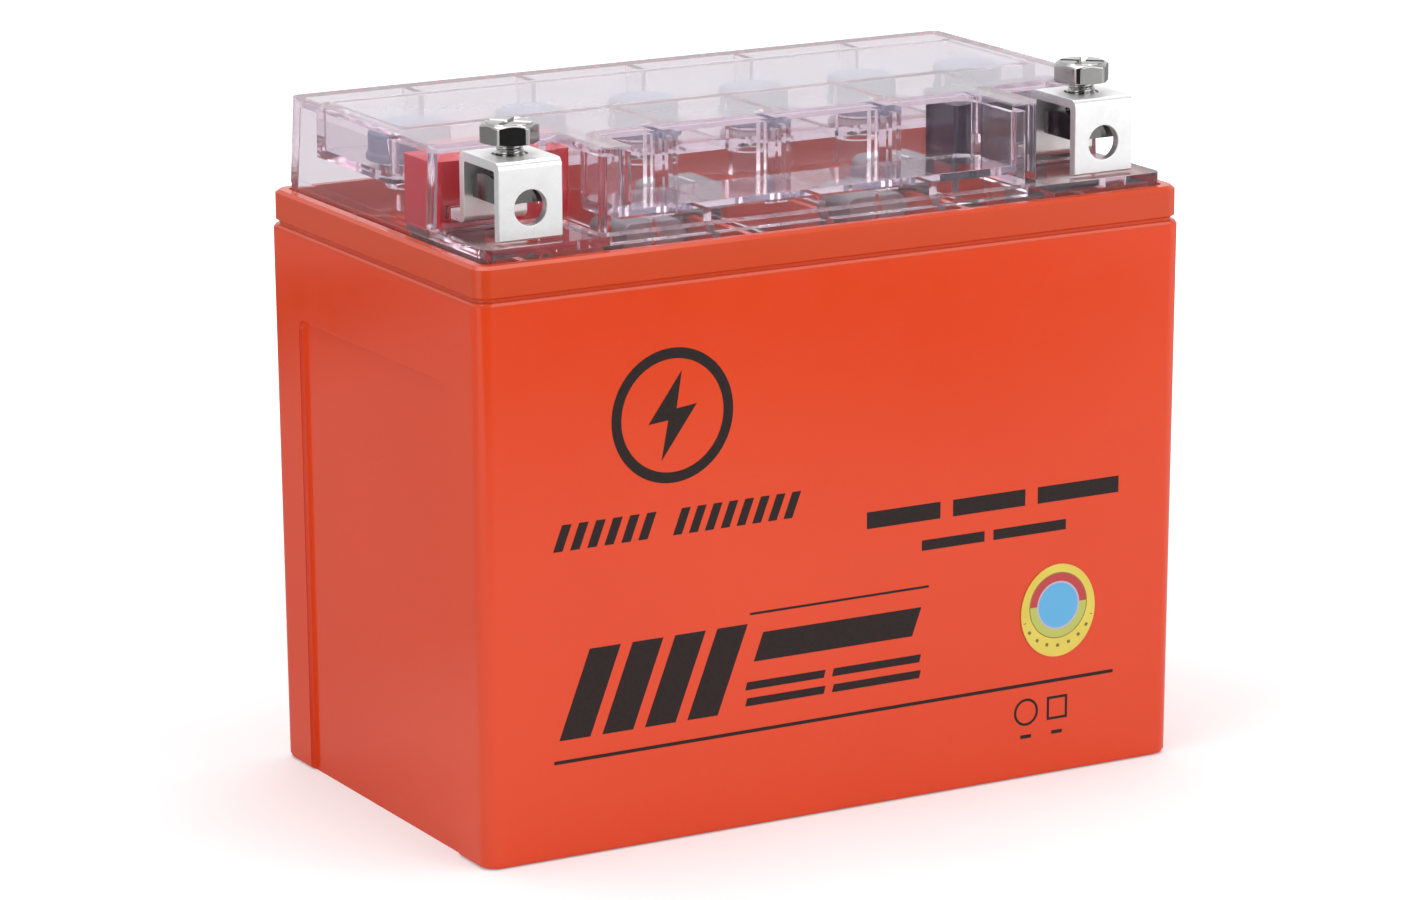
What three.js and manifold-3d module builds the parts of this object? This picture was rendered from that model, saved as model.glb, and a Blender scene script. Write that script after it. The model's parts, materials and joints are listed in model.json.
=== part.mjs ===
// A sealed 12 V motorcycle battery: an opaque container of six cells under a clear moulded cover,
// with two bracket terminals, their bolts and square nuts, and a valve on every cell.
// Millimetres. +Z is up, the terminals face -Y, and the origin is the middle of the underside.
import * as THREE from "three";
import { mergeVertices } from "three/addons/utils/BufferGeometryUtils.js";
import Module from "manifold-3d";

const wasm = await Module();
wasm.setup();

// ---- Driving dimensions ----
const LENGTH = 150;
const WIDTH = 87;
const LEDGE_Z = 105.4; // where the container steps in to its collar
const RIM_Z = 112.1; // top of the collar
const BASE_TOP_Z = 114.5; // top of the cover's base plate, the floor of the terminal wells
const COVER_TOP_Z = 130;
const GAP = 0.3; // clearance left between pieces that touch on the real battery
const PAST = 1; // how far a cutting tool runs past the face it opens

const DRAFT = 0.7; // how far each wall leans in from the ledge to the underside
const CORNER_R = 3;
const COLLAR_INSET = 0.33;
const GROOVE_INSET = 0.85; // the fine groove between ledge and collar
const COLLAR_INNER_INSET = 2.65;
const CAVITY_INSET = 3.6;
const FLOOR = 2.5;

const CELLS = 6;
const PARTITION = 1.5;
const PARTITION_TOP_Z = 104.6;
const CELL_LENGTH = (LENGTH - 2 * CAVITY_INSET - (CELLS - 1) * PARTITION) / CELLS;
const CELL_PITCH = CELL_LENGTH + PARTITION;
const CAVITY_HALF_Y = WIDTH / 2 - CAVITY_INSET;

const COVER_INSET = 2.93;
const COVER_X = LENGTH / 2 - COVER_INSET;
const COVER_Y = WIDTH / 2 - COVER_INSET;
const COVER_WALL = 2;
const COVER_LEAN = 0.6; // how far the sides and back of the middle block lean in at the top
const COVER_SEAT_Z = LEDGE_Z + 0.5;
const WELL_X = 46.6; // inner side of each terminal well
const WELL_Y = -19; // back of each terminal well
const FRONT_Y = -37.3; // front of the cover's middle block
const POCKET_X = 40.5;
const POCKET_Y = -21.5;
const POCKET_Z = 118.2;
const POCKET_WALL = 1.8;

const TROUGH = { x: 67.4, y0: 1.1, y1: 29.6, z: 121.1, floor: 1.5, wall: 2.1 };
const LID = { x: 68.4, y0: 0.1, y1: 30.6, z: 128.3, thickness: 1.6 };
const VENT = { y: 10.5, tubeR: 4.5, boreR: 2.5, top: 126, bottom: 116.6 };
const CAP = { r: 6.5, bore: 4.7, bottom: 121.9, top: 127.6 };

const TERMINAL_X = 60.9;
const TERMINAL_WIDTH = 12.8;
const TERMINAL_TOP_Z = 129.3;
const SHEET = 1.8;
const BEND_R = 1.4;
const BRACKET_BACK_Y = -21.9;
const TAIL_Z = 116;
const TAIL_END_Y = -6.8;
const FRONT_HOLE = { z: 120.7, r: 3.3 };
const BOLT_Y = -29.4;
const POST = { y: -10.6, footR: 4, stemR: 3.4, holeR: 3.7, tip: 121.6 };

const THREAD_R = 2.95;
const NECK_R = 2.55;
const THREAD_END_Z = TERMINAL_TOP_Z + 0.3;
const BOLT_TIP_Z = 120.2;
const HEAD_Z = 131.4;
const HEAD_HEIGHT = 3.5;
const HEAD_FLATS = 9.8;
const CROWN = { r: 4.35, height: 0.3 };
const SLOT = { width: 1.4, depth: 1.1, length: 8.9 };
const LEFT_HEAD_TURN = 41.2; // degrees, as the two bolts happen to stand
const RIGHT_HEAD_TURN = 48.2;
const NUT = { flats: 10, height: 4.9, bottom: 121, boreR: 3.05, chamferR: 5 };

const SEAL = { x0: 40.5, x1: 69.2, y0: -16.3, y1: -5, z0: 113.4, z1: 126.3 };

const PLATE = { bottom: 6, top: 86, halfY: 38.3 };
const PLATE_GAP = 1.25; // between neighbouring plates, for the separator
const POSITIVE = { thickness: 2.5, count: 3 };
const NEGATIVE = { thickness: 1.7, count: 4 };
const SEPARATOR = { thickness: 0.6, bottom: 5, top: 89, foldY: 39.1 };
const STRAP = { halfX: 10.2, halfY: 6, bottom: 93, top: 98 };
const LUG_HALF_Y = 4.5;
const RISER = { x0: 5.6, x1: 10.4, halfY: 5 };
const LINK = { halfX: 6.8, halfY: 5, bottom: 104.9, top: 110.8 };
const FRONT_STRAP_Y = POST.y;
const BACK_STRAP_Y = 17;

const LABEL = { x: 48, z: 32.5, halfX: 8.3, halfZ: 9.1, thickness: 0.2 };

// ---- Geometry helpers ----

// A closed three.js geometry as a manifold-3d solid.
function solid(geometry) {
  const bare = geometry.index ? geometry.toNonIndexed() : geometry.clone();
  bare.deleteAttribute("normal");
  bare.deleteAttribute("uv");
  const merged = mergeVertices(bare, 1e-4);
  return new wasm.Manifold(
    new wasm.Mesh({
      numProp: 3,
      vertProperties: merged.attributes.position.array,
      triVerts: new Uint32Array(merged.index.array),
    }),
  );
}

// A manifold-3d solid as a three.js geometry.
function geometryOf(shape) {
  const made = shape.getMesh();
  const geometry = new THREE.BufferGeometry();
  const positions = new THREE.BufferAttribute(made.vertProperties, made.numProp);
  geometry.setAttribute("position", positions);
  geometry.setIndex(new THREE.BufferAttribute(made.triVerts, 1));
  geometry.computeVertexNormals();
  return geometry;
}

const join = (...shapes) => shapes.reduce((whole, shape) => whole.add(shape));
const cut = (shape, ...tools) => tools.reduce((rest, tool) => rest.subtract(tool), shape);

function block(x0, x1, y0, y1, z0, z1) {
  const box = new THREE.BoxGeometry(x1 - x0, y1 - y0, z1 - z0);
  return solid(box.translate((x0 + x1) / 2, (y0 + y1) / 2, (z0 + z1) / 2));
}

function upright(x, y, z0, z1, r, segments = 20) {
  const rod = new THREE.CylinderGeometry(r, r, z1 - z0, segments).rotateX(Math.PI / 2);
  return solid(rod.translate(x, y, (z0 + z1) / 2));
}

// A profile of [radius, z] pairs, from the axis round to the axis again, turned about +Z.
function turned(profile, segments) {
  const points = profile.map(([radius, z]) => new THREE.Vector2(radius, z));
  return solid(new THREE.LatheGeometry(points, segments).rotateX(Math.PI / 2));
}

// A Shape through the corners [x, y, radius], each rounded by a near-circular Bezier arc.
function outline(corners) {
  const CIRCLE = 0.5523;
  const shape = new THREE.Shape();
  corners.forEach(([x, y, radius], i) => {
    const corner = new THREE.Vector2(x, y);
    const before = new THREE.Vector2(...corners.at(i - 1));
    const after = new THREE.Vector2(...corners[(i + 1) % corners.length]);
    const inward = corner.clone().sub(before).normalize();
    const outward = after.sub(corner).normalize();
    const start = corner.clone().addScaledVector(inward, -radius);
    const end = corner.clone().addScaledVector(outward, radius);
    if (i === 0) shape.moveTo(start.x, start.y);
    else shape.lineTo(start.x, start.y);
    if (radius === 0) return;
    const a = start.clone().addScaledVector(inward, radius * CIRCLE);
    const b = end.clone().addScaledVector(outward, -radius * CIRCLE);
    shape.bezierCurveTo(a.x, a.y, b.x, b.y, end.x, end.y);
  });
  return shape;
}

const rectangle = (x0, x1, y0, y1, r) => [
  [x0, y0, r],
  [x1, y0, r],
  [x1, y1, r],
  [x0, y1, r],
];

// A solid with flat ends through a stack of like outlines, each { corners, z }, lowest first.
function loft(rings, segments = 4) {
  const contours = rings.map(({ corners }) => outline(corners).getPoints(segments));
  const around = contours[0].length;
  const positions = contours.flatMap((points, i) => points.flatMap(({ x, y }) => [x, y, rings[i].z]));
  const index = [];
  for (let ring = 0; ring < rings.length - 1; ring += 1) {
    for (let i = 0; i < around; i += 1) {
      const a = ring * around + i;
      const b = ring * around + ((i + 1) % around);
      index.push(a, b, b + around, a, b + around, a + around);
    }
  }
  const last = (rings.length - 1) * around;
  for (const [a, b, c] of THREE.ShapeUtils.triangulateShape(contours[0], [])) index.push(c, b, a);
  for (const [a, b, c] of THREE.ShapeUtils.triangulateShape(contours.at(-1), [])) {
    index.push(last + a, last + b, last + c);
  }
  const geometry = new THREE.BufferGeometry();
  geometry.setAttribute("position", new THREE.Float32BufferAttribute(positions, 3));
  geometry.setIndex(index);
  return solid(geometry);
}

const prism = (corners, z0, z1, segments) =>
  loft([{ corners, z: z0 }, { corners, z: z1 }], segments);

// ---- Places that repeat ----
const cellX = (cell) => (cell - (CELLS + 1) / 2) * CELL_PITCH;
const partitionX = (partition) => (partition - CELLS / 2) * CELL_PITCH;
const cells = Array.from({ length: CELLS }, (_, i) => i + 1);
const partitions = cells.slice(0, -1);
// The positive strap is at the front in the odd cells, so the end terminals both come out in front.
const strapY = (cell, isPositive) => ((cell % 2 === 1) === isPositive ? FRONT_STRAP_Y : BACK_STRAP_Y);

// ---- Container ----
function footprint(inset) {
  const x = LENGTH / 2 - inset;
  const y = WIDTH / 2 - inset;
  return rectangle(-x, x, -y, y, CORNER_R);
}

function container() {
  const rings = [
    [DRAFT + 1, 0],
    [DRAFT + 0.3, 0.3],
    [DRAFT, 1],
    [0, LEDGE_Z - 0.6],
    [0.3, LEDGE_Z],
    [GROOVE_INSET, LEDGE_Z + 0.1],
    [GROOVE_INSET, LEDGE_Z + 0.6],
    [COLLAR_INSET, LEDGE_Z + 1],
    [COLLAR_INSET, RIM_Z - 0.6],
    [COLLAR_INSET + 0.6, RIM_Z],
  ];
  const shell = loft(rings.map(([inset, z]) => ({ corners: footprint(inset), z })), 8);
  const x = LENGTH / 2 - COLLAR_INNER_INSET;
  const y = WIDTH / 2 - COLLAR_INNER_INSET;
  const collar = prism(rectangle(-x, x, -y, y, 1.5), COVER_SEAT_Z - GAP, RIM_Z + PAST);
  const tops = block(
    -LENGTH / 2 + CAVITY_INSET,
    LENGTH / 2 - CAVITY_INSET,
    -CAVITY_HALF_Y,
    CAVITY_HALF_Y,
    PARTITION_TOP_Z,
    RIM_Z,
  );
  const cavities = cells.map((cell) => {
    const x0 = cellX(cell) - CELL_LENGTH / 2;
    const corners = rectangle(x0, x0 + CELL_LENGTH, -CAVITY_HALF_Y, CAVITY_HALF_Y, 0.8);
    return prism(corners, FLOOR, RIM_Z, 2);
  });
  return cut(shell, collar, tops, ...cavities, endPanel(1), endPanel(-1));
}

// The shallow sunk panel on each end wall, open at the underside, with filleted inner edges.
function endPanel(side) {
  const TOP_Z = 88.9;
  const HALF_Y = 30.4;
  const DEPTH = 1;
  const FILLET = 0.7;
  const REACH = 6;
  const shape = outline(rectangle(-HALF_Y, HALF_Y, -REACH, TOP_Z - FILLET, 1.5));
  const tool = new THREE.ExtrudeGeometry(shape, {
    depth: REACH,
    bevelThickness: FILLET,
    bevelSize: FILLET,
    bevelSegments: 2,
    curveSegments: 3,
  });
  tool.rotateX(Math.PI / 2);
  tool.rotateZ(Math.PI / 2);
  // The tool now reaches from x = -FILLET out to REACH, and leans with the wall.
  tool.translate(FILLET, 0, 0);
  tool.rotateY(Math.atan(DRAFT / LEDGE_Z));
  tool.translate(LENGTH / 2 - DRAFT - DEPTH, 0, 0);
  if (side < 0) tool.rotateZ(Math.PI);
  return solid(tool);
}

// ---- Cover ----

// The outline of the cover's upper block, taken in by the wall and by how far the sides lean.
function middleBlock(wall, lean, r) {
  const side = COVER_X - wall - lean;
  const back = COVER_Y - wall - lean;
  const inner = WELL_X - wall;
  return [
    [-side, back, r],
    [-side, WELL_Y + wall, r],
    [-inner, WELL_Y + wall, r],
    [-inner, FRONT_Y + wall, r],
    [inner, FRONT_Y + wall, r],
    [inner, WELL_Y + wall, r],
    [side, WELL_Y + wall, r],
    [side, back, r],
  ];
}

function pocket(wall) {
  const OPEN_FRONT = 6;
  const x = POCKET_X + wall;
  const corners = rectangle(-x, x, FRONT_Y - OPEN_FRONT, POCKET_Y + wall, 3.2 + wall);
  return prism(corners, POCKET_Z - wall, COVER_TOP_Z + 1, 4);
}

// A plate over each partition, notched for the lead link and the terminal seals.
function coverRibs() {
  const HALF_X = 0.8;
  const NOTCH = LINK.halfY + GAP;
  const ribs = partitions.map((n) => {
    const x = partitionX(n);
    const y = n % 2 === 1 ? BACK_STRAP_Y : FRONT_STRAP_Y;
    const foot = PARTITION_TOP_Z + GAP;
    const rib = block(x - HALF_X, x + HALF_X, -COVER_Y, COVER_Y, foot, COVER_TOP_Z - COVER_WALL / 2);
    const half = HALF_X + PAST;
    return cut(rib, block(x - half, x + half, y - NOTCH, y + NOTCH, foot - PAST, LINK.top + GAP));
  });
  return cut(join(...ribs), sealSpace(1), sealSpace(-1));
}

// Hollow box columns that stand behind the pocket, on the three middle partitions.
function coverColumns() {
  const HALF_X = 2.6;
  const DEPTH = 4;
  const WALL = 1;
  const CORE = { x0: 0.9, x1: 1.9 };
  const y0 = POCKET_Y + POCKET_WALL - 0.2;
  const y1 = y0 + DEPTH;
  const foot = BASE_TOP_Z - COVER_WALL;
  const top = COVER_TOP_Z - COVER_WALL / 2;
  const columns = [2, 3, 4].map((n) => {
    const x = partitionX(n);
    const core = block(x + CORE.x0, x + CORE.x1, y0 + WALL, y1 - WALL, foot - PAST, top - 2 * WALL);
    return cut(block(x - HALF_X, x + HALF_X, y0, y1, foot, top), core);
  });
  return join(...columns);
}

function sealSpace(side) {
  const xs = [side * (SEAL.x0 - GAP), side * (SEAL.x1 + GAP)].sort((a, b) => a - b);
  return block(...xs, SEAL.y0 - GAP, SEAL.y1 + GAP, SEAL.z0 - 10, SEAL.z1 + GAP);
}

function coverBody() {
  const base = rectangle(-COVER_X, COVER_X, -COVER_Y, COVER_Y, 2);
  const upper = loft([
    { corners: middleBlock(0, 0, 1.6), z: BASE_TOP_Z - 1 },
    { corners: middleBlock(0, COVER_LEAN, 1.6), z: COVER_TOP_Z },
  ]);
  return join(prism(base, COVER_SEAT_Z, BASE_TOP_Z), upper);
}

function coverHollow() {
  const x = COVER_X - COVER_WALL;
  const y = COVER_Y - COVER_WALL;
  const ceiling = BASE_TOP_Z - COVER_WALL;
  const skirt = prism(rectangle(-x, x, -y, y, 1), COVER_SEAT_Z - 1, ceiling, 2);
  const room = loft(
    [
      { corners: middleBlock(COVER_WALL, 0, 0.8), z: ceiling - 1 },
      { corners: middleBlock(COVER_WALL, COVER_LEAN, 0.8), z: COVER_TOP_Z - COVER_WALL },
    ],
    2,
  );
  return join(skirt, room);
}

function troughBox(wall, z0, z1) {
  const { x, y0, y1 } = TROUGH;
  return prism(rectangle(-x - wall, x + wall, y0 - wall, y1 + wall, 1.5), z0, z1, 2);
}

function topCover() {
  const kept = join(
    pocket(POCKET_WALL),
    troughBox(TROUGH.wall, TROUGH.z - TROUGH.floor, COVER_TOP_Z - 1),
    coverRibs(),
    coverColumns(),
    ...cells.map((cell) => upright(cellX(cell), VENT.y, VENT.bottom, TROUGH.z, VENT.tubeR, 24)),
  );
  const hollow = cut(coverHollow(), kept);
  const lidSeat = prism(rectangle(-LID.x, LID.x, LID.y0, LID.y1, 1.8), LID.z, COVER_TOP_Z + 1, 3);
  const shell = cut(
    coverBody(),
    pocket(0),
    hollow,
    troughBox(0, TROUGH.z, COVER_TOP_Z),
    lidSeat,
    ...[-1, 1].map(tailSlot),
  );
  const tubes = cells.map((cell) =>
    upright(cellX(cell), VENT.y, TROUGH.z - 1, VENT.top, VENT.tubeR, 24),
  );
  const bores = cells.map((cell) =>
    upright(cellX(cell), VENT.y, LEDGE_Z, COVER_TOP_Z, VENT.boreR, 12),
  );
  return cut(join(shell, ...tubes), ...bores);
}

// The slot through the back wall of a well for the terminal's tail.
function tailSlot(side) {
  const x = side * TERMINAL_X;
  const half = TERMINAL_WIDTH / 2 + GAP;
  const z1 = TAIL_Z + SHEET + GAP;
  return block(x - half, x + half, WELL_Y - PAST, WELL_Y + COVER_WALL + PAST, TAIL_Z - GAP, z1);
}

function ventLid() {
  const { x, y0, y1, z, thickness } = LID;
  const corners = rectangle(-x + GAP, x - GAP, y0 + GAP, y1 - GAP, 1.6);
  return prism(corners, z + 0.05, z + thickness, 3);
}

// A rubber cap that sits over a vent tube, turned about its own axis.
function ventCap(cell) {
  const { r, bore, bottom, top } = CAP;
  const roof = VENT.top + GAP;
  const FLANGE = { out: 0.4, height: 1.2, slope: 0.4 };
  const flange = r + FLANGE.out;
  const ROUND = 0.7;
  const profile = [
    [0, roof],
    [bore, roof],
    [bore, bottom],
    [flange, bottom],
    [flange, bottom + FLANGE.height],
    [r, bottom + FLANGE.height + FLANGE.slope],
    [r, top - ROUND],
    [r - ROUND, top],
    [0, top],
  ];
  return turned(profile, 28).translate([cellX(cell), VENT.y, 0]);
}

// ---- Terminals ----

// The strip's side view: front flange, top flange, back leg, then the tail that runs into the seal.
function bracketProfile() {
  const front = FRONT_Y;
  const back = BRACKET_BACK_Y;
  const top = TERMINAL_TOP_Z;
  const foot = BASE_TOP_Z + GAP;
  const EDGE_R = 0.4;
  const INNER_R = 0.5;
  return [
    [front, foot, EDGE_R],
    [front + SHEET, foot, EDGE_R],
    [front + SHEET, top - SHEET, INNER_R],
    [back - SHEET, top - SHEET, INNER_R],
    [back - SHEET, TAIL_Z, BEND_R],
    [TAIL_END_Y, TAIL_Z, 0],
    [TAIL_END_Y, TAIL_Z + SHEET, 0],
    [back, TAIL_Z + SHEET, INNER_R],
    [back, top, BEND_R],
    [front, top, BEND_R],
  ];
}

function terminal(side) {
  const strip = new THREE.ExtrudeGeometry(outline(bracketProfile()), {
    depth: TERMINAL_WIDTH,
    bevelEnabled: false,
    curveSegments: 4,
  });
  strip.rotateX(Math.PI / 2);
  strip.rotateZ(Math.PI / 2);
  const centre = side * TERMINAL_X;
  strip.translate(centre - TERMINAL_WIDTH / 2, 0, 0);
  const { z, r } = FRONT_HOLE;
  const drill = new THREE.CylinderGeometry(r, r, 4, 40).translate(centre, FRONT_Y + 1, z);
  return cut(
    solid(strip),
    solid(drill),
    upright(centre, BOLT_Y, TERMINAL_TOP_Z - SHEET - PAST, TERMINAL_TOP_Z + PAST, r, 40),
    upright(centre, POST.y, TAIL_Z - PAST, TAIL_Z + SHEET + PAST, POST.holeR, 16),
  );
}

// The lead post from an end cell's strap, through the eye of the terminal's tail.
function post(side) {
  const { footR, stemR, tip } = POST;
  const foot = STRAP.top + GAP;
  const shoulder = TAIL_Z - GAP;
  const CHAMFER = 0.8;
  const profile = [
    [0, foot],
    [footR, foot],
    [footR, shoulder],
    [stemR, shoulder],
    [stemR, tip - CHAMFER],
    [stemR - CHAMFER, tip],
    [0, tip],
  ];
  return turned(profile, 16).translate([side * TERMINAL_X, POST.y, 0]);
}

// The coloured block of cast resin that seals the post and the terminal's tail.
function postSeal(side) {
  const xs = [side * SEAL.x0, side * SEAL.x1].sort((a, b) => a - b);
  const cast = prism(rectangle(...xs, SEAL.y0, SEAL.y1, 1), SEAL.z0, SEAL.z1, 3);
  const x = side * TERMINAL_X;
  const half = TERMINAL_WIDTH / 2 + GAP;
  return cut(
    cast,
    block(x - half, x + half, SEAL.y0 - PAST, TAIL_END_Y + GAP, TAIL_Z - GAP, TAIL_Z + SHEET + GAP),
    upright(x, POST.y, SEAL.z0 - PAST, POST.tip + GAP, POST.footR + GAP, 16),
  );
}

// ---- Bolts and nuts ----

// A hexagonal prism whose upper edge is chamfered to a round.
function hexHead(flats, z0, height, turn) {
  const corner = flats / Math.sqrt(3);
  const hex = new THREE.CylinderGeometry(corner, corner, height, 6).rotateX(Math.PI / 2);
  hex.rotateZ(turn);
  hex.translate(0, 0, z0 + height / 2);
  const CHAMFER = { out: 1.1, down: 0.75 };
  const rim = flats / 2 - 0.1;
  const top = z0 + height;
  const cone = [
    [0, z0 - PAST],
    [rim + CHAMFER.out, z0 - PAST],
    [rim + CHAMFER.out, top - CHAMFER.down],
    [rim, top],
    [0, top],
  ];
  return solid(hex).intersect(turned(cone, 36));
}

function bolt(side, turnDegrees) {
  const turn = THREE.MathUtils.degToRad(turnDegrees);
  const topZ = HEAD_Z + HEAD_HEIGHT + CROWN.height;
  const head = hexHead(HEAD_FLATS, HEAD_Z, HEAD_HEIGHT, turn + Math.PI / 2);
  const crown = upright(0, 0, HEAD_Z + PAST, topZ, CROWN.r, 24);
  const POINT = 0.7;
  const RUNOUT = 0.4;
  const shank = [
    [0, BOLT_TIP_Z],
    [THREAD_R - POINT, BOLT_TIP_Z],
    [THREAD_R, BOLT_TIP_Z + POINT],
    [THREAD_R, THREAD_END_Z],
    [NECK_R, THREAD_END_Z + RUNOUT],
    [NECK_R, HEAD_Z + PAST],
    [0, HEAD_Z + PAST],
  ];
  const { width, depth, length } = SLOT;
  const slots = [0, Math.PI / 2].map((angle) => {
    const bar = new THREE.BoxGeometry(length, width, 2 * depth);
    return solid(bar.rotateZ(turn + angle).translate(0, 0, topZ));
  });
  return cut(join(head, crown, turned(shank, 20)), ...slots).translate([side * TERMINAL_X, BOLT_Y, 0]);
}

function squareNut(side) {
  const { flats, height, bottom, boreR, chamferR } = NUT;
  const h = flats / 2;
  const top = bottom + height;
  const CHAMFER = 1.2;
  const outside = flats / Math.SQRT2 + PAST / 2;
  const cone = [
    [0, bottom - PAST],
    [outside, bottom - PAST],
    [outside, top - CHAMFER],
    [chamferR, top],
    [0, top],
  ];
  const body = block(-h, h, -h, h, bottom, top).intersect(turned(cone, 32));
  const bore = upright(0, 0, bottom - PAST, top + PAST, boreR, 20);
  return cut(body, bore).translate([side * TERMINAL_X, BOLT_Y, 0]);
}

// ---- Cells ----

// The x centre of each plate in a cell, counted from the cell's middle: negative plates outside.
function plateCentres() {
  const stack = [];
  let x = 0;
  for (let i = 0; i < POSITIVE.count + NEGATIVE.count; i += 1) {
    const { thickness } = i % 2 === 0 ? NEGATIVE : POSITIVE;
    stack.push({ isPositive: i % 2 === 1, centre: x + thickness / 2, thickness });
    x += thickness + PLATE_GAP;
  }
  const middle = (x - PLATE_GAP) / 2;
  return stack.map((plate) => ({ ...plate, centre: plate.centre - middle }));
}
const PLATES = plateCentres();

// One polarity's plates, burned to a strap, with a riser towards the next cell where it has one.
function plateGroup(cell, isPositive) {
  const x = cellX(cell);
  const y = strapY(cell, isPositive);
  const pieces = [
    block(x - STRAP.halfX, x + STRAP.halfX, y - STRAP.halfY, y + STRAP.halfY, STRAP.bottom, STRAP.top),
  ];
  for (const { centre, thickness } of PLATES.filter((plate) => plate.isPositive === isPositive)) {
    const x0 = x + centre - thickness / 2;
    const x1 = x0 + thickness;
    pieces.push(block(x0, x1, -PLATE.halfY, PLATE.halfY, PLATE.bottom, PLATE.top));
    pieces.push(block(x0, x1, y - LUG_HALF_Y, y + LUG_HALF_Y, PLATE.top - 1, STRAP.bottom + 1));
  }
  const isEnd = isPositive ? cell === 1 : cell === CELLS;
  if (!isEnd) {
    const towards = isPositive ? -1 : 1;
    const xs = [x + towards * RISER.x0, x + towards * RISER.x1].sort((a, b) => a - b);
    const top = LINK.bottom - 0.2;
    pieces.push(block(...xs, y - RISER.halfY, y + RISER.halfY, STRAP.top - 1, top));
  }
  return join(...pieces);
}

// The pleated mat that winds between the plates, folded alternately at the back and the front.
function separator(cell) {
  const { thickness, bottom, top, foldY } = SEPARATOR;
  const half = thickness / 2;
  const gaps = PLATES.slice(0, -1).map((plate) => {
    return cellX(cell) + plate.centre + plate.thickness / 2 + PLATE_GAP / 2;
  });
  const runs = gaps.map((x) => block(x - half, x + half, -foldY, foldY, bottom, top));
  const folds = gaps.slice(0, -1).map((x, i) => {
    const y = i % 2 === 0 ? foldY : -foldY;
    return block(x - half, gaps[i + 1] + half, y - half, y + half, bottom, top);
  });
  return join(...runs, ...folds);
}

// The lead bridge over a partition that joins two cells in series.
function cellLink(partition) {
  const { halfX, halfY, bottom, top } = LINK;
  const x = partitionX(partition);
  const y = partition % 2 === 1 ? BACK_STRAP_Y : FRONT_STRAP_Y;
  const arch = outline([
    [-halfX, bottom, 0.6],
    [halfX, bottom, 0.6],
    [halfX, top, 2],
    [-halfX, top, 2],
  ]);
  const bar = new THREE.ExtrudeGeometry(arch, { depth: 2 * halfY, bevelEnabled: false, curveSegments: 4 });
  bar.rotateX(Math.PI / 2);
  return solid(bar.translate(x, y + halfY, 0));
}

// ---- Label ----

// The thin oval sticker, leaning with the front wall.
function frontLabel() {
  const { x, z, halfX, halfZ, thickness } = LABEL;
  const oval = new THREE.Shape().absellipse(0, 0, halfX, halfZ, 0, 2 * Math.PI);
  const sheet = new THREE.ExtrudeGeometry(oval, {
    depth: thickness,
    bevelEnabled: false,
    curveSegments: 40,
  });
  sheet.rotateX(Math.PI / 2);
  sheet.rotateX(Math.atan(DRAFT / LEDGE_Z));
  const wallInset = DRAFT * (1 - z / LEDGE_Z);
  return solid(sheet.translate(x, -WIDTH / 2 + wallInset - 0.05, z));
}

// ---- Materials ----
const material = (color, roughness, metalness, more = {}) =>
  new THREE.MeshStandardMaterial({ color, roughness, metalness, ...more });
const MATERIALS = {
  orange: material(0xdd4a22, 0.25, 0),
  clear: material(0xe6e0ec, 0.08, 0, { transparent: true, opacity: 0.35 }),
  plated: material(0xd9dadb, 0.22, 1),
  lead: material(0x8d8f92, 0.55, 0.8),
  red: material(0xb01820, 0.35, 0),
  black: material(0x1c1a22, 0.35, 0),
  rubber: material(0x55585f, 0.7, 0),
  positivePaste: material(0x5a3020, 0.85, 0),
  negativePaste: material(0x6f7478, 0.75, 0.2),
  mat: material(0xeeece4, 0.95, 0),
  sticker: material(0xe8d44a, 0.4, 0),
};

// ---- Assembly ----
const battery = new THREE.Group();

function add(name, shape, finish) {
  const mesh = new THREE.Mesh(geometryOf(shape), MATERIALS[finish]);
  mesh.name = name;
  battery.add(mesh);
}

add("container", container(), "orange");
add("top_cover", topCover(), "clear");
add("vent_lid", ventLid(), "clear");
add("front_label", frontLabel(), "sticker");

for (const [pole, side, colour, turn] of [
  ["positive", -1, "red", LEFT_HEAD_TURN],
  ["negative", 1, "black", RIGHT_HEAD_TURN],
]) {
  add(`${pole}_terminal`, terminal(side), "plated");
  add(`${pole}_bolt`, bolt(side, turn), "plated");
  add(`${pole}_nut`, squareNut(side), "plated");
  add(`${pole}_post`, post(side), "lead");
  add(`${pole}_post_seal`, postSeal(side), colour);
}

for (const cell of cells) {
  add(`cell_${cell}_vent_cap`, ventCap(cell), "rubber");
  add(`cell_${cell}_positive_plates`, plateGroup(cell, true), "positivePaste");
  add(`cell_${cell}_negative_plates`, plateGroup(cell, false), "negativePaste");
  add(`cell_${cell}_separator`, separator(cell), "mat");
}
for (const partition of partitions) {
  add(`cell_link_${partition}_${partition + 1}`, cellLink(partition), "lead");
}

export default battery;
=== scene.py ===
"""Looks for a sealed motorcycle battery: glossy orange container under a clear cover, plated terminals."""

import json
import math

import bmesh
import bpy
from mathutils import Matrix, Vector
from mathutils.bvhtree import BVHTree


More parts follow.
